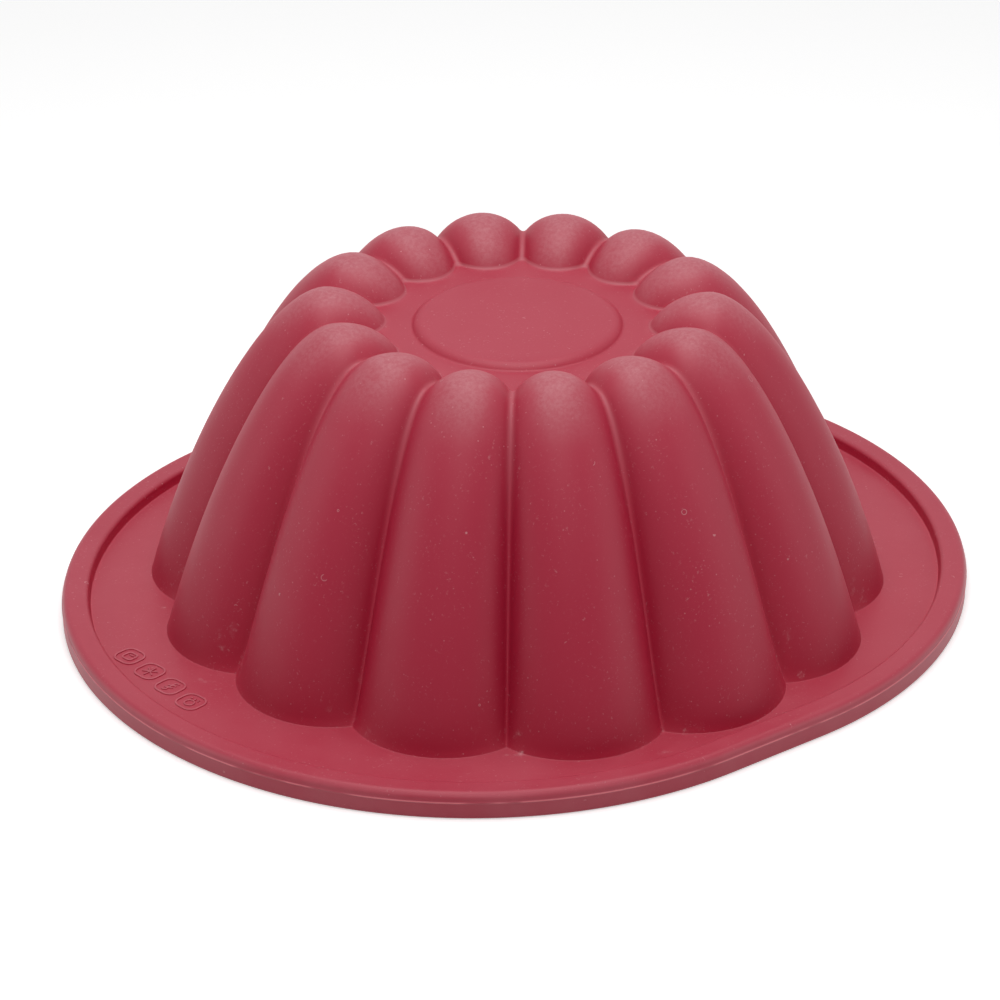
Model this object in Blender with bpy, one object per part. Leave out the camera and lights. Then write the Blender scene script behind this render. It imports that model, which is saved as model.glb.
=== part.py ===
"""Fluted charlotte mould: one silicone moulding, shown resting on its rim.

The closed end is up. A scalloped mouth opens downwards through a flat flange
that ends in a thicker bead. Units are metres, +Z is up, the origin is on the
resting plane under the middle, and +X runs along the flange's long way.
"""
import bpy
from bisect import bisect_right
from math import atan2, cos, pi, radians, sin, sqrt
from mathutils import Vector
from mathutils.geometry import interpolate_bezier

# Flutes
FLUTES = 14
CREST_RADIUS = 0.1051        # outermost reach of a flute where it meets the flange
FLUTE_DEPTH = 0.0082         # how far a valley lies inside the crests at the flange
VALLEY_FILLET = 0.0011       # rounding along the bottom of every valley

# Closed end
RING_HEIGHT = 0.0832         # flat ring above the resting plane
CROWN_RISE = 0.0095          # domed flute ends above the flat ring
CORNER_RADIUS = 0.0420       # where two neighbouring flutes meet on the flat ring
END_BULGE = 0.0053           # how far a flute's inner end reaches past those corners
CROWN_RADIUS = 0.0534        # where the crown is highest
VALLEY_RISE = 0.0037         # highest place of a valley above the flat ring
VALLEY_TOP_RADIUS = 0.0530   # where a valley is highest
DISC_RADIUS = 0.0295         # raised disc in the middle, at its foot
DISC_RISE = 0.0019
DISC_SLOPE = radians(60)     # steepness of the disc's round edge at its foot

# Curves of the side, as handles of a smooth curve from the crown to the flange
CROWN_OUTER = 0.0162         # level pull outwards at the crown's top
CREST_PULL = 0.0438          # pull up from the flange along a crest
CREST_DRAFT = radians(14.5)  # a crest's lean at the flange
VALLEY_OUTER = 0.0180        # level pull outwards at a valley's highest place
VALLEY_PULL = 0.0120         # pull up from the flange along a valley
VALLEY_DRAFT = radians(40)

# Wall, flange and bead
WALL = 0.0025                # silicone thickness of the cup
PLATE_THICKNESS = 0.0041     # flange plate between the cup and the bead
PLATE_MARGIN = 0.0040        # least plate width between a crest and the bead
BEAD_WIDTH = 0.0081          # bead at its foot on the plate
BEAD_RISE = 0.0033           # bead above the plate
BEAD_STEP_RUN = 0.0010       # sloping width of the bead's inner step
BEAD_ROUND = 0.0013          # rounding of the bead's upper outer corner
FOOT_ROUND = 0.0005          # rounding of the lower outer corner
FLANGE_STRETCH = 0.0154      # each half of the round flange is moved out by this along X

# Fineness of the mesh
POINTS_PER_FLUTE = 8
OUTER_ROWS = 18
INNER_ROWS = 12
CROWN_CROWDING = 1.5         # above 1, rows lie closer together at the crown
END_SHARE = 0.1464           # share of the skin that lies inside the highest places
CURVE_STEPS = 120
END_STEPS = 40

SILICONE_RED = (0.335, 0.028, 0.050, 1.0)
SILICONE_ROUGHNESS = 0.55

PITCH = 2 * pi / FLUTES
VALLEY_RADIUS = CREST_RADIUS - FLUTE_DEPTH
FLANGE_RADIUS = CREST_RADIUS + PLATE_MARGIN + BEAD_WIDTH
BEAD_TOP = PLATE_THICKNESS + BEAD_RISE
SAMPLE = 1e-3                # share of a curve or a flute used to find a slope


class Curve:
    """A line of (radius, height) points, read by the share of its length."""

    def __init__(self, points):
        self.points = points
        self.reach = [0.0]
        for a, b in zip(points, points[1:]):
            self.reach.append(self.reach[-1] + (b - a).length)

    def at(self, share):
        length = share * self.reach[-1]
        i = min(max(bisect_right(self.reach, length) - 1, 0), len(self.points) - 2)
        step = self.reach[i + 1] - self.reach[i]
        return self.points[i].lerp(self.points[i + 1], (length - self.reach[i]) / step)


def end_arc(inner_end, top):
    """Round inner end of a flute or a valley, from the flat ring up to its highest place."""
    run, rise = top - inner_end
    sweep = 2 * atan2(rise, run)
    radius = run / sin(sweep)
    angles = [sweep * (1 - i / END_STEPS) for i in range(END_STEPS + 1)]
    return [top + Vector((-sin(a), cos(a) - 1)) * radius for a in angles]


def side_bow(top, level_pull, foot_radius, foot_pull, draft):
    """From a level start at the top, over the shoulder and down to the flange."""
    foot = Vector((foot_radius, PLATE_THICKNESS))
    lean = Vector((-sin(draft), cos(draft))) * foot_pull
    return interpolate_bezier(top, top + Vector((level_pull, 0)), foot + lean, foot, CURVE_STEPS)


class Ridge:
    """The line of a crest or a valley: its round inner end, then its side."""

    def __init__(self, inner_radius, top_radius, top_rise, *side):
        top = Vector((top_radius, RING_HEIGHT + top_rise))
        self.end = Curve(end_arc(Vector((inner_radius, RING_HEIGHT)), top))
        self.side = Curve(side_bow(top, *side))

    def at(self, down):
        if down < END_SHARE:
            return self.end.at(down / END_SHARE)
        return self.side.at((down - END_SHARE) / (1 - END_SHARE))


CREST = Ridge(CORNER_RADIUS - END_BULGE, CROWN_RADIUS, CROWN_RISE,
              CROWN_OUTER, CREST_RADIUS, CREST_PULL, CREST_DRAFT)
VALLEY = Ridge(CORNER_RADIUS, VALLEY_TOP_RADIUS, VALLEY_RISE,
               VALLEY_OUTER, VALLEY_RADIUS, VALLEY_PULL, VALLEY_DRAFT)


def flute_height(across, half_width, depth):
    """Height of a flute's round section over its valleys, at a share across it.

    The section is one arc over the crest, joined to a fillet arc in each valley.
    """
    fillet = min(VALLEY_FILLET, depth / 4)
    arc = (half_width ** 2 + depth ** 2) / (2 * depth) - fillet
    x = abs(across) * half_width
    if x > half_width * arc / (arc + fillet):
        return fillet - sqrt(max(fillet ** 2 - (half_width - x) ** 2, 0))
    return depth - arc + sqrt(arc ** 2 - x ** 2)


def skin(down, turn):
    """Outer skin: down is 0 on the flat ring and 1 on the flange, turn counts flutes."""
    valley, crest = VALLEY.at(down), CREST.at(down)
    across = 2 * (turn % 1) - 1
    depth = (crest - valley).length
    half_width = valley.x * sin(PITCH / 2)
    radius, height = valley.lerp(crest, flute_height(across, half_width, depth) / depth)
    return Vector((radius * cos(turn * PITCH), radius * sin(turn * PITCH), height))


def inner_skin(down, turn):
    """The outer skin moved into the cup by the wall, square to the surface."""
    above, below = max(down - SAMPLE, 0), min(down + SAMPLE, 1)
    along = skin(below, turn) - skin(above, turn)
    around = skin(down, turn + SAMPLE) - skin(down, turn - SAMPLE)
    return skin(down, turn) - along.cross(around).normalized() * WALL


def flute_turns():
    """Places around the mould, in flutes, closer together towards the valleys."""
    half = POINTS_PER_FLUTE // 2
    across = [sin((i - half) / half * pi / 2) for i in range(POINTS_PER_FLUTE)]
    return [flute + (1 + share) / 2 for flute in range(FLUTES) for share in across]


TURNS = flute_turns()


def circle(radius, height):
    return [Vector((radius * cos(t * PITCH), radius * sin(t * PITCH), height)) for t in TURNS]


def obround(inset, height):
    """The flange's outline moved in by inset: two half circles joined by straights."""
    radius = FLANGE_RADIUS - inset
    points = []
    for turn in TURNS:
        x, y = cos(turn * PITCH), sin(turn * PITCH)
        if abs(x) * radius <= FLANGE_STRETCH * abs(y):
            reach = radius / abs(y)
        else:
            reach = FLANGE_STRETCH * abs(x) + sqrt(radius ** 2 - (FLANGE_STRETCH * y) ** 2)
        points.append(Vector((x * reach, y * reach, height)))
    return points


def skin_rows(surface, rows):
    shares = [(i / rows) ** CROWN_CROWDING for i in range(rows + 1)]
    return [[surface(share, turn) for turn in TURNS] for share in shares]


def disc_rows(base, rise, foot_radius):
    """Round edge of the raised disc, from its flat top out to its foot."""
    rounding = rise / (1 - cos(DISC_SLOPE))
    rows = []
    for share in (0, 1 / 3, 2 / 3, 1):
        slope = DISC_SLOPE * share
        run = rounding * (sin(DISC_SLOPE) - sin(slope))
        rows.append(circle(foot_radius - run, base + rise - rounding * (1 - cos(slope))))
    return rows


def bead_rows():
    """Bead from its foot on the plate, over the top and down to the resting plane."""
    inner_top = BEAD_WIDTH - BEAD_STEP_RUN
    rows = [obround(BEAD_WIDTH, PLATE_THICKNESS), obround(inner_top, BEAD_TOP)]
    for angle in (90, 45, 0):
        a = radians(angle)
        rows.append(obround(BEAD_ROUND * (1 - cos(a)), BEAD_TOP - BEAD_ROUND * (1 - sin(a))))
    rows.append(obround(0, FOOT_ROUND))
    rows.append(obround(FOOT_ROUND, 0))
    return rows


def mouth_row():
    """Scalloped edge of the mouth: the inner skin carried on down to the resting plane."""
    points = []
    for turn in TURNS:
        low, higher = inner_skin(1, turn), inner_skin(0.96, turn)
        slope = low - higher
        points.append(low + slope * (low.z / -slope.z))
    return points


def ring_corner_row():
    """Inner corner where the underside of the flat ring turns up into the flutes."""
    points = [inner_skin(0, turn) for turn in TURNS]
    return [Vector((p.x, p.y, RING_HEIGHT - WALL)) for p in points]


def mould_rows():
    """Every ring of points from the outer top of the disc to its inner top."""
    outer = disc_rows(RING_HEIGHT, DISC_RISE, DISC_RADIUS) + skin_rows(skin, OUTER_ROWS)
    inner = disc_rows(RING_HEIGHT - WALL, DISC_RISE, DISC_RADIUS - WALL)
    inner += [ring_corner_row()] + skin_rows(inner_skin, INNER_ROWS)[1:]
    return outer + bead_rows() + [mouth_row()] + inner[::-1]


def loft(name, rows, material):
    """One closed body: neighbouring rings are joined, and both ends are capped."""
    count = len(rows[0])
    points = [point for row in rows for point in row]
    faces = [list(range(count))]
    for row in range(len(rows) - 1):
        first, second = row * count, (row + 1) * count
        for i in range(count):
            j = (i + 1) % count
            faces.append([first + i, second + i, second + j, first + j])
    faces.append(list(range(len(points) - 1, len(points) - 1 - count, -1)))
    mesh = bpy.data.meshes.new(name)
    mesh.from_pydata(points, [], faces)
    mesh.materials.append(material)
    mesh.shade_smooth()
    mesh.set_sharp_from_angle(angle=radians(40))
    part = bpy.data.objects.new(name, mesh)
    bpy.context.scene.collection.objects.link(part)
    return part


def silicone():
    material = bpy.data.materials.new("red_silicone")
    material.use_nodes = True
    shader = material.node_tree.nodes["Principled BSDF"]
    shader.inputs["Base Color"].default_value = SILICONE_RED
    shader.inputs["Roughness"].default_value = SILICONE_ROUGHNESS
    shader.inputs["Metallic"].default_value = 0.0
    return material


def main():
    for old in list(bpy.data.objects):
        bpy.data.objects.remove(old, do_unlink=True)
    loft("mould_body", mould_rows(), silicone())


main()
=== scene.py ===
"""Looks of a fluted charlotte mould in matt red silicone, standing on its rim.

One moulding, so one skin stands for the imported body: domed flutes round a flat
ring and a raised disc, a flange with a rounded bead, and the hollow inside.
Lengths are metres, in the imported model's frame.
"""
from bisect import bisect_right
from math import atan2, cos, hypot, pi, radians, sin, sqrt

import bmesh
import bpy
from mathutils import Matrix, Vector
from mathutils.geometry import interpolate_bezier


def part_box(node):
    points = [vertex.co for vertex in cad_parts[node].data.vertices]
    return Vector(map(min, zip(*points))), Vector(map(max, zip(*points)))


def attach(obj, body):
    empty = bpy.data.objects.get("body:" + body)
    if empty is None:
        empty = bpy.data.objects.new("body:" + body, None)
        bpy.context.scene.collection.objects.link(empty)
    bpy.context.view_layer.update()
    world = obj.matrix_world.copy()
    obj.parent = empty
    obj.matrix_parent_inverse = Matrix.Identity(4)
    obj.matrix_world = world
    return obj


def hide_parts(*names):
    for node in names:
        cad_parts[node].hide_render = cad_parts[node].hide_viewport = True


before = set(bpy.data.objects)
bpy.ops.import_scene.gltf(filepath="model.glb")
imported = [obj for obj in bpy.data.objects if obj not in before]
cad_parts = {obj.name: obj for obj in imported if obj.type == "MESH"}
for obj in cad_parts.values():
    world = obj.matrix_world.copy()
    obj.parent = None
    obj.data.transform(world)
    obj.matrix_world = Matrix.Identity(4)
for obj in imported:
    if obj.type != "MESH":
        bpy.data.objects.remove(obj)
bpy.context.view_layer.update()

BODY_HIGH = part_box("mould_body")[1]

# Flutes and the side of the cup
FLUTES = 14
CREST_RADIUS = 0.1051        # outermost reach of a flute where it meets the flange
FLUTE_DEPTH = 0.0082         # how far a valley lies inside the crests there
CROWN_FILLET = 0.0014        # rounding along a valley's bottom, at the crown
FOOT_FILLET = 0.0004         # and at the flange
CROWN_RISE = 0.0095          # domed flute ends above the flat ring
CORNER_RADIUS = 0.0420       # where two neighbouring flutes meet on the flat ring
END_BULGE = 0.0053           # how far a flute's inner end reaches past those corners
CROWN_RADIUS = 0.0534        # where the crown is highest
VALLEY_RISE = 0.0037         # highest place of a valley above the flat ring
VALLEY_TOP_RADIUS = 0.0530   # where a valley is highest
CROWN_OUTER = 0.0162         # level pull outwards at the crown's top
CREST_PULL = 0.0438          # pull up from the flange along a crest
CREST_DRAFT = radians(14.5)  # a crest's lean at the flange
VALLEY_OUTER = 0.0180        # level pull outwards at a valley's highest place
VALLEY_PULL = 0.0120         # pull up from the flange along a valley
VALLEY_DRAFT = radians(40)
END_SHARE = 0.1464           # share of the skin that lies inside the highest places
WALL = 0.0025

# Raised disc in the middle of the closed end
DISC_RADIUS = 0.0295
DISC_RISE = 0.0019
DISC_SLOPE = radians(60)     # steepness of the disc's round edge at its foot
DISC_APRON = 0.0032          # flat ring kept free round the disc's foot

# Flange and its bead
PLATE_THICKNESS = 0.0041
BEAD_WIDTH = 0.0081
BEAD_RISE = 0.0033
BEAD_STEP_RUN = 0.0006       # sloping width of the bead's inner step
BEAD_LEAN = 0.0005           # inset of the bead's upper outer edge, before it is rounded
FLASH_HEIGHT = 0.0048        # fine line where the two halves of the tool meet
FLASH_REACH = 0.00016        # how far that line stands out from the edge
FLASH_HALF = 0.00014         # half of its height

# Roundings, as widths of the bevels
RING_ROUND = 0.0008          # foot of a flute's inner end on the flat ring
FOOT_ROUND = 0.00015         # foot of the cup on the plate
DISC_FOOT_ROUND = 0.0005
BEAD_FOOT_ROUND = 0.0003
BEAD_INNER_ROUND = 0.0011
BEAD_OUTER_ROUND = 0.0018
RIM_ROUND = 0.0005
MOUTH_ROUND = 0.0004

# Fineness
COLUMNS = 26                 # faces across one flute
COLUMN_CROWDING = 1.8        # above 1, columns lie closer together at the valleys
ROWS = 58                    # faces along one flute
FIRST_ROW = 0.0125           # share of the side that the first row takes
ROW_CROWDING = 1.3           # above 1, rows lie closer together at the crown
CURVE_STEPS = 160
END_STEPS = 60
DISC_STEPS = 7
DISC_TOP_LOOPS = (0.8, 0.5, 0.2)    # shares of the disc's radius
HOLD = 0.0004                # distance of the loops that keep flat faces flat beside a rounding
FINE_SEGMENTS = 3            # faces across the smallest roundings
FOOT_SEGMENTS = 4
RING_SEGMENTS = 5
BEAD_INNER_SEGMENTS = 6
BEAD_OUTER_SEGMENTS = 9

RING_HEIGHT = BODY_HIGH.z - CROWN_RISE
FLANGE_RADIUS = BODY_HIGH.y
FLANGE_STRETCH = BODY_HIGH.x - FLANGE_RADIUS
BEAD_TOP = PLATE_THICKNESS + BEAD_RISE
PITCH = 2 * pi / FLUTES
VALLEY_RADIUS = CREST_RADIUS - FLUTE_DEPTH
TOUCHING = 1e-6              # points nearer than this are one point
LEVEL = 1e-5                 # points whose heights differ by less lie at one height


class Curve:
    """A line of (radius, height) points, read by the share of its length."""

    def __init__(self, points):
        self.points = points
        self.reach = [0.0]
        for a, b in zip(points, points[1:]):
            self.reach.append(self.reach[-1] + (b - a).length)

    def at(self, share):
        length = share * self.reach[-1]
        i = min(max(bisect_right(self.reach, length) - 1, 0), len(self.points) - 2)
        step = self.reach[i + 1] - self.reach[i]
        return self.points[i].lerp(self.points[i + 1], (length - self.reach[i]) / step)


def end_arc(inner_end, top):
    """Round inner end of a flute or a valley, from the flat ring up to its highest place."""
    run, rise = top - inner_end
    sweep = 2 * atan2(rise, run)
    radius = run / sin(sweep)
    angles = [sweep * (1 - i / END_STEPS) for i in range(END_STEPS + 1)]
    return [top + Vector((-sin(a), cos(a) - 1)) * radius for a in angles]


def side_bow(top, level_pull, foot_radius, foot_pull, draft):
    """From a level start at the top, over the shoulder and down to the flange."""
    foot = Vector((foot_radius, PLATE_THICKNESS))
    lean = Vector((-sin(draft), cos(draft))) * foot_pull
    return interpolate_bezier(top, top + Vector((level_pull, 0)), foot + lean, foot, CURVE_STEPS)


class Ridge:
    """The line of a crest or a valley: its round inner end, then its side."""

    def __init__(self, inner_radius, top_radius, top_rise, *side):
        top = Vector((top_radius, RING_HEIGHT + top_rise))
        self.end = Curve(end_arc(Vector((inner_radius, RING_HEIGHT)), top))
        self.side = Curve(side_bow(top, *side))

    def at(self, down):
        if down < END_SHARE:
            return self.end.at(down / END_SHARE)
        return self.side.at((down - END_SHARE) / (1 - END_SHARE))


CREST = Ridge(CORNER_RADIUS - END_BULGE, CROWN_RADIUS, CROWN_RISE,
              CROWN_OUTER, CREST_RADIUS, CREST_PULL, CREST_DRAFT)
VALLEY = Ridge(CORNER_RADIUS, VALLEY_TOP_RADIUS, VALLEY_RISE,
               VALLEY_OUTER, VALLEY_RADIUS, VALLEY_PULL, VALLEY_DRAFT)


def flute_height(across, half_width, depth, fillet):
    """Height of a flute's round section over its valleys: one arc with a fillet at each end."""
    arc = (half_width ** 2 + depth ** 2) / (2 * depth) - fillet
    x = abs(across) * half_width
    if x > half_width * arc / (arc + fillet):
        return fillet - sqrt(max(fillet ** 2 - (half_width - x) ** 2, 0))
    return depth - arc + sqrt(arc ** 2 - x ** 2)


def flute_point(down, across):
    """Point of the first flute: down is 0 on the flat ring and 1 on the flange."""
    valley, crest = VALLEY.at(down), CREST.at(down)
    depth = (crest - valley).length
    half_width = valley.x * sin(PITCH / 2)
    fillet = CROWN_FILLET + (FOOT_FILLET - CROWN_FILLET) * down
    share = flute_height(across, half_width, depth, fillet) / depth
    radius, height = valley.lerp(crest, share)
    angle = (1 + across) * PITCH / 2
    return Vector((radius * cos(angle), radius * sin(angle), height))


def crowded(place):
    """Moves grid lines from an even spread towards both sides, where the valleys are."""
    side = 1 if place >= 0 else -1
    return side * (1 - (1 - abs(place)) ** COLUMN_CROWDING)


def row_share(place):
    """Share of the side for a grid line, with one wide first row and then rows that widen."""
    step = place * ROWS
    if step <= 1:
        return FIRST_ROW * step
    return FIRST_ROW + (1 - FIRST_ROW) * ((step - 1) / (ROWS - 1)) ** ROW_CROWDING


# Closed lines round the middle: each gives the point that lies at an angle

def on_flutes(down):
    """Round all flutes, at one share of the side."""

    def place(angle):
        flute, turn = divmod(angle, PITCH)
        point = flute_point(down, 2 * turn / PITCH - 1)
        return Matrix.Rotation(flute * PITCH, 3, "Z") @ point

    return place


def on_circle(radius, height):
    return lambda angle: Vector((radius * cos(angle), radius * sin(angle), height))


def on_flange(inset, height):
    """The flange's outline moved in by inset: two half circles joined by straights."""
    radius = FLANGE_RADIUS - inset

    def place(angle):
        x, y = cos(angle), sin(angle)
        if abs(x) * radius <= FLANGE_STRETCH * abs(y):
            reach = radius / abs(y)
        else:
            reach = FLANGE_STRETCH * abs(x) + sqrt(radius ** 2 - (FLANGE_STRETCH * y) ** 2)
        return Vector((x * reach, y * reach, height))

    return place


def moved_out(place, distance):
    """The same closed line, moved away from the middle."""

    def moved(angle):
        point = place(angle)
        return point + away(point) * distance

    return moved


def away(point):
    """Level direction from the middle to a point."""
    return Vector((point.x, point.y, 0)).normalized()


# Modelling by hand, on the one object in edit mode

def start_new():
    if bpy.context.object and bpy.context.object.mode != "OBJECT":
        bpy.ops.object.mode_set(mode="OBJECT")
    bpy.ops.object.select_all(action="DESELECT")


def edit():
    bpy.ops.object.mode_set(mode="EDIT")


def mesh_in_hand():
    mesh = bmesh.from_edit_mesh(bpy.context.object.data)
    mesh.verts.index_update()
    mesh.edges.index_update()
    return mesh


def show_changes():
    bmesh.update_edit_mesh(bpy.context.object.data)


def extrude_rim():
    """Extrudes the selected rim, and leaves the new points selected where the old ones are."""
    bpy.ops.mesh.extrude_edges_move(TRANSFORM_OT_translate={"value": (0, 0, 0)})


def select_lines(test):
    """Selects the edges that pass the test."""
    bpy.ops.mesh.select_all(action="DESELECT")
    for line in mesh_in_hand().edges:
        if test(line):
            line.select = True
    show_changes()


def select_rim(test):
    """Selects the open rim whose points all pass the test."""
    select_lines(lambda line: line.is_boundary and all(test(point.co) for point in line.verts))


def pull_rim(place):
    """Extrudes the selected rim once, then sets each new point by its own angle."""
    extrude_rim()
    for point in mesh_in_hand().verts:
        if point.select:
            point.co = place(atan2(point.co.y, point.co.x))
    show_changes()


def round_selected(radius, segments):
    bpy.ops.mesh.bevel(offset=radius, segments=segments, profile=0.5, affect="EDGES")


def round_loop(place, radius, segments):
    """Bevels the closed loop of edges that lies where place puts each angle's point."""

    def touches(point):
        return (point.co - place(atan2(point.co.y, point.co.x))).length < TOUCHING

    on_line = {point.index for point in mesh_in_hand().verts if touches(point)}
    select_lines(lambda line: all(point.index in on_line for point in line.verts))
    round_selected(radius, segments)


def model_flutes():
    """One flute is shaped from a grid, turned round the middle and merged at the valleys."""
    start_new()
    bpy.ops.mesh.primitive_grid_add(x_subdivisions=COLUMNS, y_subdivisions=ROWS, size=2)
    skin = bpy.context.object
    skin.name = skin.data.name = "mould_skin"
    for point in skin.data.vertices:
        point.co = flute_point(row_share((1 - point.co.y) / 2), crowded(point.co.x))
    edit()
    bpy.ops.mesh.select_all(action="SELECT")
    bpy.ops.mesh.spin(steps=FLUTES - 1, dupli=True, angle=2 * pi - PITCH, center=(0, 0, 0), axis=(0, 0, 1))
    bpy.ops.mesh.select_all(action="SELECT")
    bpy.ops.mesh.remove_doubles(threshold=TOUCHING)
    return skin


def model_flat_ring():
    """From the scalloped edge between the flutes in to the disc, with its foot rounded."""
    select_rim(lambda co: co.z > RING_HEIGHT / 2)
    pull_rim(moved_out(on_flutes(0), -RING_ROUND - HOLD))
    pull_rim(on_circle(DISC_RADIUS + DISC_APRON, RING_HEIGHT))
    round_loop(on_flutes(0), RING_ROUND, RING_SEGMENTS)


def copy_skin_inwards():
    """The inside is the outside moved in by the wall, square to the surface."""
    bpy.ops.mesh.select_all(action="SELECT")
    bpy.ops.mesh.duplicate()
    bpy.ops.transform.shrink_fatten(value=-WALL)
    bpy.ops.mesh.flip_normals()


def model_disc(ring_height, foot_radius):
    """Raised disc: its foot, the round edge up to the top, and the flat top."""
    select_rim(lambda co: abs(co.z - ring_height) < LEVEL * 5 and hypot(co.x, co.y) < CORNER_RADIUS)
    pull_rim(on_circle(foot_radius + DISC_FOOT_ROUND + HOLD, ring_height))
    pull_rim(on_circle(foot_radius, ring_height))
    top = ring_height + DISC_RISE
    rounding = DISC_RISE / (1 - cos(DISC_SLOPE))
    for step in range(1, DISC_STEPS + 1):
        slope = DISC_SLOPE * (1 - step / DISC_STEPS)
        run = rounding * (sin(DISC_SLOPE) - sin(slope))
        pull_rim(on_circle(foot_radius - run, top - rounding * (1 - cos(slope))))
    for share in DISC_TOP_LOOPS:
        pull_rim(on_circle(foot_radius * share, top))
    bpy.ops.mesh.edge_face_add()
    round_loop(on_circle(foot_radius, ring_height), DISC_FOOT_ROUND, FINE_SEGMENTS)


def model_mouth():
    """The inner skin is carried on down to the resting plane, along its own slope."""
    select_rim(lambda co: co.z < PLATE_THICKNESS - WALL / 10)
    extrude_rim()
    mesh = mesh_in_hand()
    moves = []
    for point in [v for v in mesh.verts if v.select]:
        above = next(e.other_vert(point) for e in point.link_edges if not e.other_vert(point).select)
        higher = max((e.other_vert(above) for e in above.link_edges), key=lambda v: v.co.z)
        slope = above.co - higher.co
        moves.append((point, above.co + slope * (above.co.z / -slope.z)))
    for point, place in moves:
        point.co = place
    show_changes()


def model_flange():
    """From the foot of the cup over the plate and the bead, down to the resting plane."""
    bead_foot = on_flange(BEAD_WIDTH, PLATE_THICKNESS)
    bead_inner = on_flange(BEAD_WIDTH - BEAD_STEP_RUN, BEAD_TOP)
    bead_outer = on_flange(BEAD_LEAN, BEAD_TOP)
    plate = (moved_out(on_flutes(1), FOOT_ROUND + HOLD),
             on_flange(BEAD_WIDTH + BEAD_FOOT_ROUND + HOLD, PLATE_THICKNESS))
    bead = (bead_foot, bead_inner,
            on_flange(BEAD_WIDTH - BEAD_STEP_RUN - BEAD_INNER_ROUND - HOLD, BEAD_TOP),
            on_flange(BEAD_LEAN + BEAD_OUTER_ROUND + HOLD, BEAD_TOP), bead_outer)
    flash = (on_flange(FLASH_REACH, FLASH_HEIGHT + FLASH_HALF),
             on_flange(0, FLASH_HEIGHT),
             on_flange(FLASH_REACH, FLASH_HEIGHT - FLASH_HALF))
    edge = (on_flange(FLASH_REACH, FLASH_HEIGHT - FLASH_HALF - HOLD),
            on_flange(FLASH_REACH, RIM_ROUND + HOLD),
            on_flange(FLASH_REACH, 0))
    select_rim(lambda co: abs(co.z - PLATE_THICKNESS) < TOUCHING)
    for place in plate + bead + flash + edge:
        pull_rim(place)
    round_loop(on_flutes(1), FOOT_ROUND, FOOT_SEGMENTS)
    round_loop(bead_foot, BEAD_FOOT_ROUND, FINE_SEGMENTS)
    round_loop(bead_inner, BEAD_INNER_ROUND, BEAD_INNER_SEGMENTS)
    round_loop(bead_outer, BEAD_OUTER_ROUND, BEAD_OUTER_SEGMENTS)


def close_underside():
    """The flat face that the mould rests on joins the outer rim to the rounded mouth."""
    select_rim(lambda co: abs(co.z) < LEVEL and hypot(co.x, co.y) < CREST_RADIUS)
    mouth = {line.index for line in mesh_in_hand().edges if line.select}
    extrude_rim()
    for point in mesh_in_hand().verts:
        if point.select:
            point.co += away(point.co) * (MOUTH_ROUND + HOLD)
    show_changes()
    select_lines(lambda line: line.index in mouth)
    round_selected(MOUTH_ROUND, FINE_SEGMENTS)
    select_rim(lambda co: abs(co.z) < LEVEL)
    bpy.ops.mesh.bridge_edge_loops()
    round_loop(on_flange(FLASH_REACH, 0), RIM_ROUND, FINE_SEGMENTS)


def model_mould():
    skin = model_flutes()
    model_flat_ring()
    copy_skin_inwards()
    model_disc(RING_HEIGHT, DISC_RADIUS)
    model_disc(RING_HEIGHT - WALL, DISC_RADIUS - WALL)
    model_mouth()
    model_flange()
    close_underside()
    bpy.ops.object.mode_set(mode="OBJECT")
    bpy.ops.object.shade_smooth()
    return skin


# Embossed care marks on the plate: generic signs in rounded frames

MARK_ROW_X = -0.11515        # the row of marks lies along Y at this place
MARK_FIRST_Y = 0.0257
MARK_PITCH = 0.01030
MARK_TURN = radians(9)
MARK_SIDE = 0.0080
MARK_CORNER = 0.0029
MARK_SMOOTH = radians(50)    # edges sharper than this stay sharp
LINE_WIDTH = 0.00062
LINE_RISE = 0.00032
LINE_SINK = 0.00020          # the lines start this far inside the plate
LINE_ROUND = LINE_WIDTH * 0.36
LINE_SEGMENTS = 4
CORNER_SEGMENTS = 7          # faces round a frame's corner
THIN_LINE = LINE_WIDTH * 0.8     # width of the lines inside the frames
THIN_END = LINE_WIDTH * 0.3      # rounding of their ends
ARC_STEP = radians(15)

OVEN_SIDE = 0.0040
OVEN_CORNER = 0.0012
OVEN_SHELF = 0.0018          # length of the shelf
OVEN_SHELF_UP = 0.0006
STAR_LENGTH = 0.0046
WAVE_RADIUS = 0.0008
WAVE_START = radians(20)
WAVE_SWEEP = radians(140)
WAVE_OUT = 0.00078           # from the sign's middle to the middle of a wave's arc
WAVE_SHIFT = 0.0002          # a wave's two arcs lie this far above and below its line
WAVE_PITCH = 0.0013
DROP_LENGTH = 0.0009
DROP_PITCH = 0.0013
DROP_UP = 0.0016
DISH_RADIUS = 0.0014
DISH_DOWN = 0.0006


def place_piece(piece, x, y, z, turn):
    """Turns and moves a piece modelled round the origin, and leaves the place in its mesh."""
    piece.matrix_world = Matrix.Translation((x, y, z)) @ Matrix.Rotation(turn, 4, "Z")
    bpy.ops.object.select_all(action="DESELECT")
    piece.select_set(True)
    bpy.context.view_layer.objects.active = piece
    bpy.ops.object.transform_apply(location=True, rotation=True, scale=True)


def start_square(side):
    """A flat square in hand, with everything on it selected."""
    start_new()
    bpy.ops.mesh.primitive_plane_add(size=side)
    edit()
    bpy.ops.mesh.select_all(action="SELECT")
    return bpy.context.object


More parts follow.
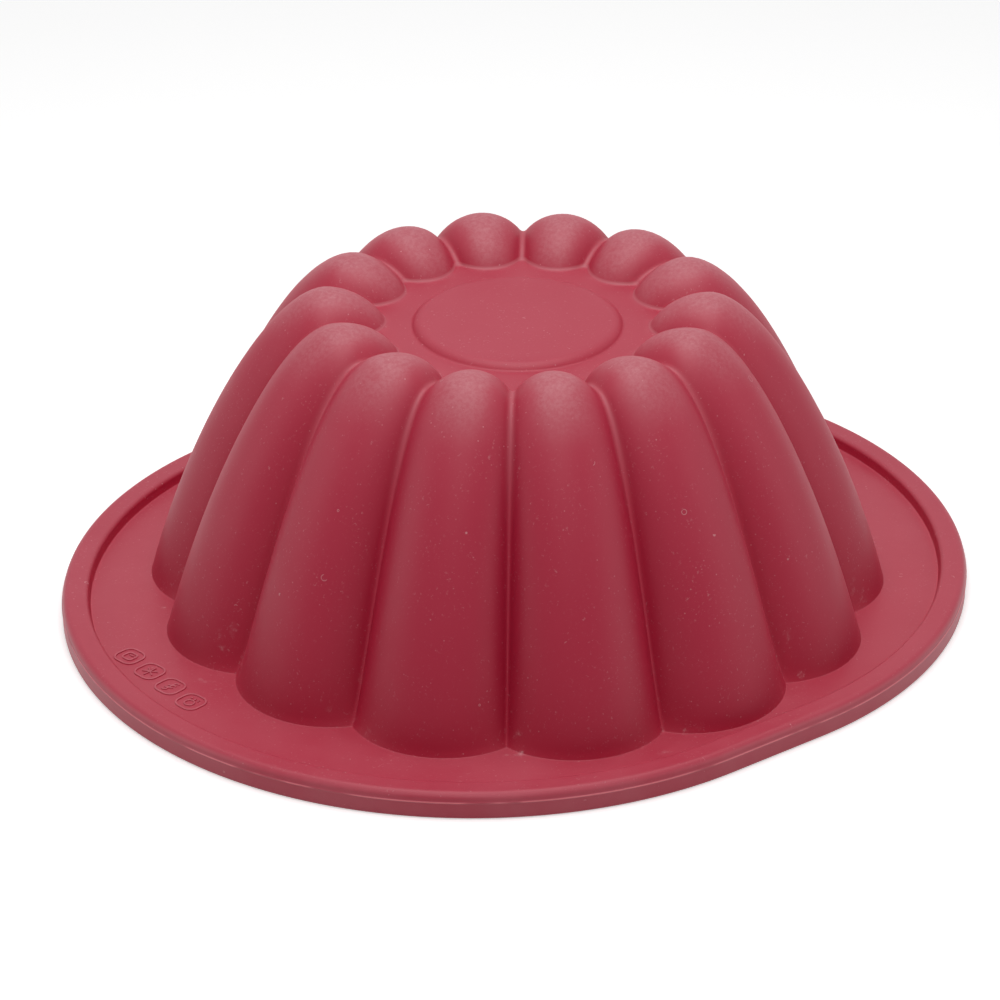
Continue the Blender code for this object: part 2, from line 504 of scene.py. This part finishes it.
def raise_line():
    """Thickens the flat outline in hand into a raised line with softened upper edges."""
    bpy.ops.mesh.select_all(action="SELECT")
    bpy.ops.mesh.extrude_region_move(TRANSFORM_OT_translate={"value": (0, 0, LINE_RISE + LINE_SINK)})
    bpy.ops.mesh.select_all(action="SELECT")
    bpy.ops.mesh.normals_make_consistent(inside=False)
    select_lines(lambda line: min(point.co.z for point in line.verts) > LINE_RISE
                 and line.calc_face_angle(0) > 1)
    bpy.ops.mesh.bevel(offset=LINE_ROUND, segments=LINE_SEGMENTS, affect="EDGES")
    bpy.ops.mesh.select_all(action="SELECT")
    bpy.ops.transform.translate(value=(0, 0, -LINE_SINK))
    bpy.ops.object.mode_set(mode="OBJECT")


def raised_frame(side, corner):
    """A closed raised line round a square with round corners."""
    frame_line = start_square(side)
    bpy.ops.mesh.bevel(offset=corner, segments=CORNER_SEGMENTS, affect="VERTICES")
    bpy.ops.mesh.select_all(action="SELECT")
    bpy.ops.mesh.inset(thickness=LINE_WIDTH)
    bpy.ops.mesh.delete(type="FACE")
    raise_line()
    return frame_line


def raised_bar(length, x, y, turn):
    """A short straight raised line."""
    bar = start_square(1)
    bpy.ops.transform.resize(value=(length, THIN_LINE, 1))
    bpy.ops.mesh.bevel(offset=THIN_END, segments=FINE_SEGMENTS, affect="VERTICES")
    raise_line()
    place_piece(bar, x, y, 0, turn)
    return bar


def raised_arc(radius, start, sweep, x, y):
    """A raised line along a part of a circle: one side of a square is turned round the middle."""
    arc = start_square(1)
    bpy.ops.mesh.delete(type="ONLY_FACE")
    mesh = mesh_in_hand()
    for point in list(mesh.verts):
        if point.co.y < 0:
            mesh.verts.remove(point)
    for point in mesh.verts:
        side = THIN_LINE / 2 if point.co.x > 0 else -THIN_LINE / 2
        point.co = Vector((radius + side, 0, 0))
    show_changes()
    bpy.ops.mesh.select_all(action="SELECT")
    steps = max(3, round(abs(sweep) / ARC_STEP))
    bpy.ops.mesh.spin(steps=steps, angle=sweep, center=(0, 0, 0), axis=(0, 0, 1))
    bpy.ops.mesh.select_all(action="SELECT")
    bpy.ops.mesh.remove_doubles(threshold=TOUCHING)
    bpy.ops.mesh.normals_make_consistent(inside=False)
    raise_line()
    place_piece(arc, x, y, 0, start)
    return arc


def oven_sign():
    return [raised_frame(OVEN_SIDE, OVEN_CORNER), raised_bar(OVEN_SHELF, 0, OVEN_SHELF_UP, 0)]


def freezer_sign():
    return [raised_bar(STAR_LENGTH, 0, 0, radians(60) * arm + radians(30)) for arm in range(3)]


def microwave_sign():
    lines = []
    for y in (-WAVE_PITCH, 0.0, WAVE_PITCH):
        lines.append(raised_arc(WAVE_RADIUS, WAVE_START, WAVE_SWEEP, -WAVE_OUT, y - WAVE_SHIFT))
        lines.append(raised_arc(WAVE_RADIUS, WAVE_START + pi, WAVE_SWEEP, WAVE_OUT, y + WAVE_SHIFT))
    return lines


def dishwasher_sign():
    drops = [raised_bar(DROP_LENGTH, x, DROP_UP, radians(90)) for x in (-DROP_PITCH, 0, DROP_PITCH)]
    return drops + [raised_arc(DISH_RADIUS, 0, 2 * pi - radians(1), 0, -DISH_DOWN)]


MARKS = {"care_mark_oven": oven_sign, "care_mark_freezer": freezer_sign,
         "care_mark_microwave": microwave_sign, "care_mark_dishwasher": dishwasher_sign}


def model_care_mark(number, name):
    """One frame with its sign, as one piece on the plate."""
    lines = [raised_frame(MARK_SIDE, MARK_CORNER)] + MARKS[name]()
    bpy.ops.object.select_all(action="DESELECT")
    for line in lines:
        line.select_set(True)
    bpy.context.view_layer.objects.active = lines[0]
    bpy.ops.object.join()
    mark = bpy.context.object
    mark.name = mark.data.name = name
    y = MARK_FIRST_Y - number * MARK_PITCH
    place_piece(mark, MARK_ROW_X, y, PLATE_THICKNESS, MARK_TURN - pi / 2)
    bpy.ops.object.shade_smooth_by_angle(angle=MARK_SMOOTH)
    return mark


# Silicone

DEEP_RED = (0.400, 0.0050, 0.0340, 1)
# pale bloom colour, also painted on as a sheen where overhead light falls
BLOOM_AND_SHEEN = (0.97, 0.47, 0.53, 1)
# pale dust colour, also used for painted highlights and a painted reflection
DUST_AND_HIGHLIGHT = (0.90, 0.68, 0.70, 1)
FLASH_GLOW_RED = (0.97, 0.24, 0.29, 1)    # painted glow of light through the thin silicone of the flash line
BLOOM_AND_SHEEN_ON_SKIN = 0.055
# the care marks' copy of the silicone takes more bloom and painted sheen, so it is painted lighter
BLOOM_AND_SHEEN_ON_MARKS = 0.17
BLOOM_AND_SHEEN_ON_FLANGE = 0.020      # bloom and painted sheen that the flange has beyond the cup's
ROUGHNESS = 0.52
ROUGHNESS_SPREAD = 0.03
DUST_ROUGHNESS = 0.2         # what full dust adds
EDGE_SMOOTHNESS = 0.10       # what the outer edge lacks
SILICONE_IOR = 1.43
SILICONE_SPECULAR = 0.6
RELIEF_DEPTH = 0.00003
RELIEF_STRENGTH = 0.35

# Where looks change, as the heights or the distances from the middle between which they do
CUP_EDGE = (CREST_RADIUS + 0.0005, CREST_RADIUS + 0.0030)
CUP_FOOT = (0.005, 0.024)
CUP_SIDE = (0.005, 0.060)
OVER_PLATE = (PLATE_THICKNESS + 0.0001, PLATE_THICKNESS + 0.0005)
CROWN_SHOULDER = (RING_HEIGHT - 0.0050, RING_HEIGHT + 0.0085)
CROWN_TOP = (RING_HEIGHT + 0.0070, RING_HEIGHT + 0.0094)
CROWN_REACH = (0.0345, 0.0380)
VALLEY_SIDE = (0.055, RING_HEIGHT)
VALLEY_START = (CORNER_RADIUS - 0.0010, CORNER_RADIUS + 0.0005)
RING_FOOT_START = (RING_HEIGHT + 0.00005, RING_HEIGHT + 0.0003)
RING_FOOT_END = (RING_HEIGHT + 0.0006, RING_HEIGHT + 0.0011)
RING_INNER = (0.0325, 0.0345)
RING_OUTER = (0.0450, 0.0480)
FLASH_BAND = (0.00016, 0.00030)     # distances above and below the flash line

# Scales of the patterns, as features to a metre
CLOUDS = 11
PATCHES = 38
BROKEN_LINE = 55
FLECK_FIELDS = 95
FIBRE_CELLS = 150
GRIT_CELLS = 165
SMUDGES = 170
RELIEF = 260
FIBRE_BREAKS = 520
SPECK_CELLS = 760
MOTTLE = 850
FLECKS = 1250
FINE_RELIEF = 2600


class Tree:
    """A material's nodes, added and linked one by one."""

    def __init__(self, name):
        self.material = bpy.data.materials.new(name)
        self.material.use_nodes = True
        self.nodes = self.material.node_tree.nodes
        self.links = self.material.node_tree.links
        self.shader = self.nodes["Principled BSDF"]

    def feed(self, socket, value):
        if isinstance(value, bpy.types.NodeSocket):
            self.links.new(value, socket)
        else:
            socket.default_value = value

    def set_shader(self, **inputs):
        for name, value in inputs.items():
            self.feed(self.shader.inputs[name.replace("_", " ")], value)

    def add(self, kind, **inputs):
        node = self.nodes.new("ShaderNode" + kind)
        for name, value in inputs.items():
            self.feed(node.inputs[name.replace("_", " ")], value)
        return node

    def math(self, operation, first, second=0.0):
        node = self.nodes.new("ShaderNodeMath")
        node.operation = operation
        self.feed(node.inputs[0], first)
        self.feed(node.inputs[1], second)
        return node.outputs[0]

    def chain(self, operation, first, *others):
        for other in others:
            first = self.math(operation, first, other)
        return first

    def product(self, *values):
        return self.chain("MULTIPLY", *values)

    def total(self, *values):
        return self.chain("ADD", *values)

    def greatest(self, *values):
        return self.chain("MAXIMUM", *values)

    def gap(self, first, second):
        """Difference of two values, without its sign."""
        return self.math("ABSOLUTE", self.math("SUBTRACT", first, second))

    def length(self, x, y):
        return self.math("SQRT", self.total(self.product(x, x), self.product(y, y)))

    def ramp(self, value, low, high, low_to=0.0, high_to=1.0):
        """Smooth step of a value from low_to at low to high_to at high."""
        node = self.add("MapRange", Value=value)
        node.interpolation_type = "SMOOTHSTEP"
        for name, number in (("From Min", low), ("From Max", high), ("To Min", low_to), ("To Max", high_to)):
            node.inputs[name].default_value = number
        return node.outputs["Result"]

    def fade(self, value, low, high):
        """Smooth step of a value from 1 at low down to 0 at high."""
        return self.ramp(value, low, high, 1.0, 0.0)

    def mix(self, factor, first, second):
        node = self.nodes.new("ShaderNodeMix")
        node.data_type = "RGBA"
        for socket, value in ((0, factor), (6, first), (7, second)):
            self.feed(node.inputs[socket], value)
        return node.outputs[2]


class Surface(Tree):
    """Nodes that say where a point lies on the mould and how it faces, and the patterns on it."""

    def __init__(self, name):
        super().__init__(name)
        spot = self.add("TexCoord")
        self.place = spot.outputs["Object"]
        x, y, self.height = self.add("SeparateXYZ", Vector=self.place).outputs
        normal_x, normal_y, self.up = self.add("SeparateXYZ", Vector=spot.outputs["Normal"]).outputs
        self.reach = self.length(x, y)
        outward = self.total(self.product(normal_x, x), self.product(normal_y, y))
        self.outward = self.math("DIVIDE", outward, self.reach)
        flute_turn = self.math("FRACT", self.math("DIVIDE", self.math("ARCTAN2", y, x), PITCH))
        self.off_crest = self.gap(self.product(flute_turn, 2.0), 1.0)
        self.cup_part = self.fade(self.reach, *CUP_EDGE)
        self.flange_part = self.ramp(self.reach, *CUP_EDGE)
        self.flat_part = self.greatest(self.flange_part, self.fade(self.height, *OVER_PLATE))
        self.crown = self.product(
            self.ramp(self.height, *CROWN_SHOULDER), self.fade(self.off_crest, 0.25, 0.85),
            self.ramp(self.reach, *CROWN_REACH))
        self.patches = self.noise(PATCHES, 4, 0.6)
        self.mottle = self.noise(MOTTLE, 3, 0.7)

    def noise(self, scale, detail=2.0, roughness=0.5, distortion=0.0):
        node = self.add("TexNoise", Vector=self.place, Scale=scale, Detail=detail,
                        Roughness=roughness, Distortion=distortion)
        return node.outputs["Fac"]

    def cells(self, scale):
        """Distance to a cell's middle, and two chances that differ from cell to cell."""
        node = self.add("TexVoronoi", Vector=self.place, Scale=scale)
        chances = self.add("SeparateColor", Color=node.outputs["Color"])
        return node.outputs["Distance"], chances.outputs[0], chances.outputs[1]


def bloom_and_sheen_on(surface, share):
    """Pale bloom and painted sheen: thin and even, but painted lighter where the surface faces up and higher
    up the cup, as overhead light would make it, and a little stronger on the flange.
    """
    ramp = surface.ramp
    return surface.product(
        ramp(surface.up, 0.1, 1.0),
        ramp(surface.patches, 0.25, 0.75, 0.7, 1.3),
        ramp(surface.noise(CLOUDS, 2, 0.5), 0.3, 0.7, 0.8, 1.2),
        surface.greatest(surface.flat_part, ramp(surface.height, *CUP_SIDE, 0.3, 1.1)),
        surface.total(share, surface.product(surface.flat_part, BLOOM_AND_SHEEN_ON_FLANGE)))


def flash_glow_on(surface):
    """The flash line round the edge, painted paler as a glow of light through it, broken in places."""
    return surface.product(
        surface.fade(surface.gap(surface.height, FLASH_HEIGHT), *FLASH_BAND),
        surface.ramp(surface.outward, 0.2, 0.5), surface.flange_part,
        surface.ramp(surface.noise(BROKEN_LINE, 2, 0.6), 0.36, 0.50, 0.10, 0.70))


def dust_and_highlights_on(surface):
    """Pale marks on the crowns, in the valleys, round the ring, at the feet and on the edge: dust and
    smudges at the feet, and elsewhere painted light: painted highlights on the crowns (with some dust),
    along the valley fillets and round the ring's foot, and a painted reflection on the outer edge.
    """
    product, ramp, fade = surface.product, surface.ramp, surface.fade
    height, reach, off_crest = surface.height, surface.reach, surface.off_crest
    # painted highlight on the crown tops, mottled, with some dust
    crown_dust_and_highlight = surface.total(product(surface.crown, 0.085), ramp(height, *CROWN_TOP, 0.0, 0.045))
    crown_dust_and_highlight = product(crown_dust_and_highlight, ramp(surface.mottle, 0.30, 0.75, 0.7, 1.6))
    # painted highlight along the valley fillets, fading down the side
    valley_highlight = product(ramp(off_crest, 0.88, 0.97), ramp(height, *VALLEY_SIDE, 0.0, 0.05),
                      ramp(reach, *VALLEY_START))
    # painted highlight along the fillet at the foot of the flute ends on the ring
    ring_highlight = product(ramp(height, *RING_FOOT_START, 0.0, 0.09), fade(height, *RING_FOOT_END),
                   ramp(reach, *RING_INNER), fade(reach, *RING_OUTER))
    feet = product(fade(height, *CUP_FOOT), ramp(off_crest, 0.50, 0.85), surface.cup_part,
                   ramp(surface.noise(SMUDGES, 4, 0.7), 0.56, 0.70),
                   ramp(surface.mottle, 0.45, 0.70, 0.05, 0.35))
    # painted reflection of the pale surroundings on the flange's outward-facing edge
    edge = product(ramp(surface.outward, 0.5, 0.95), surface.flange_part,
                   ramp(surface.patches, 0.3, 0.7, 0.03, 0.08))
    return surface.greatest(crown_dust_and_highlight, valley_highlight, ring_highlight, feet, edge)


def specks_on(surface):
    """Round specks, most of them on the crowns, where the extra ones serve as painted glints, and larger
    grains.
    """
    product, ramp, fade = surface.product, surface.ramp, surface.fade
    distance, chance, strength = surface.cells(SPECK_CELLS)
    specks = product(fade(distance, 0.08, 0.22), ramp(chance, 0.80, 0.82), strength,
                     ramp(surface.patches, 0.38, 0.60, 0.08, 0.26), surface.total(1.0, surface.crown))
    distance, chance, strength = surface.cells(GRIT_CELLS)
    grains = product(fade(distance, 0.018, 0.045), ramp(chance, 0.82, 0.84),
                     ramp(strength, 0.0, 1.0, 0.08, 0.32))
    return surface.greatest(specks, grains)


def lint_on(surface):
    """Fields of fine flecks, and short fibres that are broken stretches of small rings."""
    product, ramp, fade = surface.product, surface.ramp, surface.fade
    flecks = product(ramp(surface.noise(FLECKS, 3, 0.65, 0.6), 0.60, 0.72, 0.0, 0.13),
                     ramp(surface.noise(FLECK_FIELDS, 3, 0.6), 0.42, 0.58, 0.25, 1.0))
    distance, chance, strength = surface.cells(FIBRE_CELLS)
    fibres = product(fade(surface.gap(distance, product(strength, 0.16)), 0.006, 0.018),
                     fade(chance, 0.20, 0.22),
                     ramp(surface.noise(FIBRE_BREAKS, 1), 0.52, 0.58, 0.0, 0.28))
    return surface.greatest(flecks, fibres)


def silicone(name, bloom_and_sheen_share):
    """Matt red silicone with a pale bloom and painted sheen, dust with painted highlights and a painted
    reflection, a painted glow along the flash line, specks and lint.
    """
    surface = Surface(name)
    product, total, ramp = surface.product, surface.total, surface.ramp
    specks = specks_on(surface)
    dust_and_highlights = surface.greatest(dust_and_highlights_on(surface), specks, lint_on(surface))
    # bloom with painted sheen: lighter on up-facing surfaces and higher up the cup
    colour = surface.mix(bloom_and_sheen_on(surface, bloom_and_sheen_share), DEEP_RED, BLOOM_AND_SHEEN)
    # painted glow along the flash line
    colour = surface.mix(flash_glow_on(surface), colour, FLASH_GLOW_RED)
    # dust, specks and lint, together with painted highlights and a painted reflection
    colour = surface.mix(dust_and_highlights, colour, DUST_AND_HIGHLIGHT)

    rough = ramp(surface.patches, 0.3, 0.7, ROUGHNESS - ROUGHNESS_SPREAD, ROUGHNESS + ROUGHNESS_SPREAD)
    rough = total(rough, product(dust_and_highlights, DUST_ROUGHNESS))
    smoother = product(ramp(surface.outward, 0.5, 0.95, 0.0, EDGE_SMOOTHNESS), surface.flange_part)
    rough = surface.math("SUBTRACT", rough, smoother)

    relief = total(surface.noise(RELIEF, 3, 0.55), product(surface.noise(FINE_RELIEF, 2, 0.6), 0.35),
                   product(specks, 2.0))
    bump = surface.add("Bump", Strength=RELIEF_STRENGTH, Distance=RELIEF_DEPTH, Height=relief)
    surface.set_shader(Base_Color=colour, Roughness=rough, IOR=SILICONE_IOR,
                       Specular_IOR_Level=SILICONE_SPECULAR, Normal=bump.outputs["Normal"])
    return surface.material


# The photograph's setting

CAMERA_TURN = radians(-36.95)
CAMERA_ELEVATION = radians(29.16)
CAMERA_DISTANCE = 1.28556
CAMERA_LENS = 160.79         # millimetres, on the sensor below
SENSOR_WIDTH = 36
CAMERA_PAN = radians(-0.22)
CAMERA_TILT = radians(-1.09)
CAMERA_ROLL = radians(-0.12)
FLOOR_SIZE = 12.0
FLOOR_DROP = 0.0002          # the floor lies this far below the mould
FLOOR_WHITE = (0.80, 0.80, 0.80, 1)
FLOOR_LIFT = 0.50            # white that the floor adds for the camera and reflections, near the mould
FLOOR_NEAR = 0.45            # from here outwards it rises to full white
FLOOR_FAR = 1.10
FULL_WHITE = (1, 1, 1, 1)
LAMP_AIM = Vector((0, 0, 0.05))

# Soft lamps: turn from the camera's side, elevation, distance, side and power
LAMPS = {
    "softbox_overhead": (radians(0), radians(92), 1.0, 0.8, 6.9),
    "softbox_left": (radians(-80), radians(20), 1.0, 0.7, 1.45),
    "softbox_right": (radians(74), radians(20), 1.0, 0.7, 1.55),
    "softbox_front": (radians(0), radians(52), 1.1, 0.6, 2.1),
}


def seen_directly(nodes, links):
    """1 for what the camera or a reflection sees, and 0 for light that falls on things."""
    path = nodes.new("ShaderNodeLightPath")
    seen = path.outputs["Is Camera Ray"]
    for name in ("Is Glossy Ray", "Is Transmission Ray"):
        both = nodes.new("ShaderNodeMath")
        both.operation = "MAXIMUM"
        links.new(seen, both.inputs[0])
        links.new(path.outputs[name], both.inputs[1])
        seen = both.outputs[0]
    return seen


def lay_floor():
    start_new()
    bpy.ops.mesh.primitive_plane_add(size=FLOOR_SIZE, location=(0, 0, -FLOOR_DROP))
    floor = bpy.context.object
    floor.name = "studio_floor"
    tree = Tree("pale_floor")
    x, y, _ = tree.add("SeparateXYZ", Vector=tree.add("TexCoord").outputs["Object"]).outputs
    lift = tree.ramp(tree.length(x, y), FLOOR_NEAR, FLOOR_FAR, FLOOR_LIFT, 1.0)
    lift = tree.product(seen_directly(tree.nodes, tree.links), lift)
    tree.set_shader(Base_Color=FLOOR_WHITE, Roughness=1.0, Specular_IOR_Level=0.0,
                    Emission_Color=FULL_WHITE, Emission_Strength=lift)
    floor.data.materials.append(tree.material)


def hang_lamp(name, turn, elevation, distance, side, power):
    reach = Vector((0, -distance * cos(elevation), distance * sin(elevation)))
    spot = Matrix.Rotation(CAMERA_TURN + turn, 3, "Z") @ reach
    bpy.ops.object.light_add(type="AREA", location=spot)
    lamp = bpy.context.object
    lamp.name = name
    lamp.rotation_euler = (spot - LAMP_AIM).to_track_quat("Z", "Y").to_euler()
    lamp.data.shape = "SQUARE"
    lamp.data.size = side
    lamp.data.energy = power


def light_scene():
    """Surroundings that look white and light nothing by themselves, and the soft lamps."""
    world = bpy.data.worlds.new("studio_world")
    bpy.context.scene.world = world
    world.use_nodes = True
    nodes, links = world.node_tree.nodes, world.node_tree.links
    background = nodes["Background"]
    background.inputs["Color"].default_value = FULL_WHITE
    links.new(seen_directly(nodes, links), background.inputs["Strength"])
    for name, values in LAMPS.items():
        hang_lamp(name, *values)


def set_camera():
    data = bpy.data.cameras.new("camera")
    data.lens = CAMERA_LENS
    data.sensor_width = SENSOR_WIDTH
    camera = bpy.data.objects.new("camera", data)
    bpy.context.scene.collection.objects.link(camera)
    turn = Matrix.Rotation(CAMERA_TURN, 3, "Z") @ Matrix.Rotation(pi / 2 - CAMERA_ELEVATION, 3, "X")
    pan = Matrix.Rotation(-CAMERA_PAN, 3, "Y") @ Matrix.Rotation(-CAMERA_TILT, 3, "X")
    aim = turn @ pan @ Matrix.Rotation(-CAMERA_ROLL, 3, "Z")
    camera.matrix_world = Matrix.Translation(turn @ Vector((0, 0, CAMERA_DISTANCE))) @ aim.to_4x4()
    bpy.context.scene.camera = camera


# The whole scene

def finish_piece(piece, material):
    """Gives a piece its silicone and its body, and hides the imported body it stands for."""
    piece.data.materials.clear()
    piece.data.materials.append(material)
    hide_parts("mould_body")
    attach(piece, "root")


def main():
    finish_piece(model_mould(), silicone("red_silicone_matt", BLOOM_AND_SHEEN_ON_SKIN))
    # a copy of the silicone painted lighter, for the raised marks
    lighter_raised_silicone = silicone("red_silicone_raised_painted_lighter", BLOOM_AND_SHEEN_ON_MARKS)
    for number, name in enumerate(MARKS):
        finish_piece(model_care_mark(number, name), lighter_raised_silicone)
    lay_floor()
    light_scene()
    set_camera()
    bpy.context.scene.view_settings.view_transform = "Standard"


main()
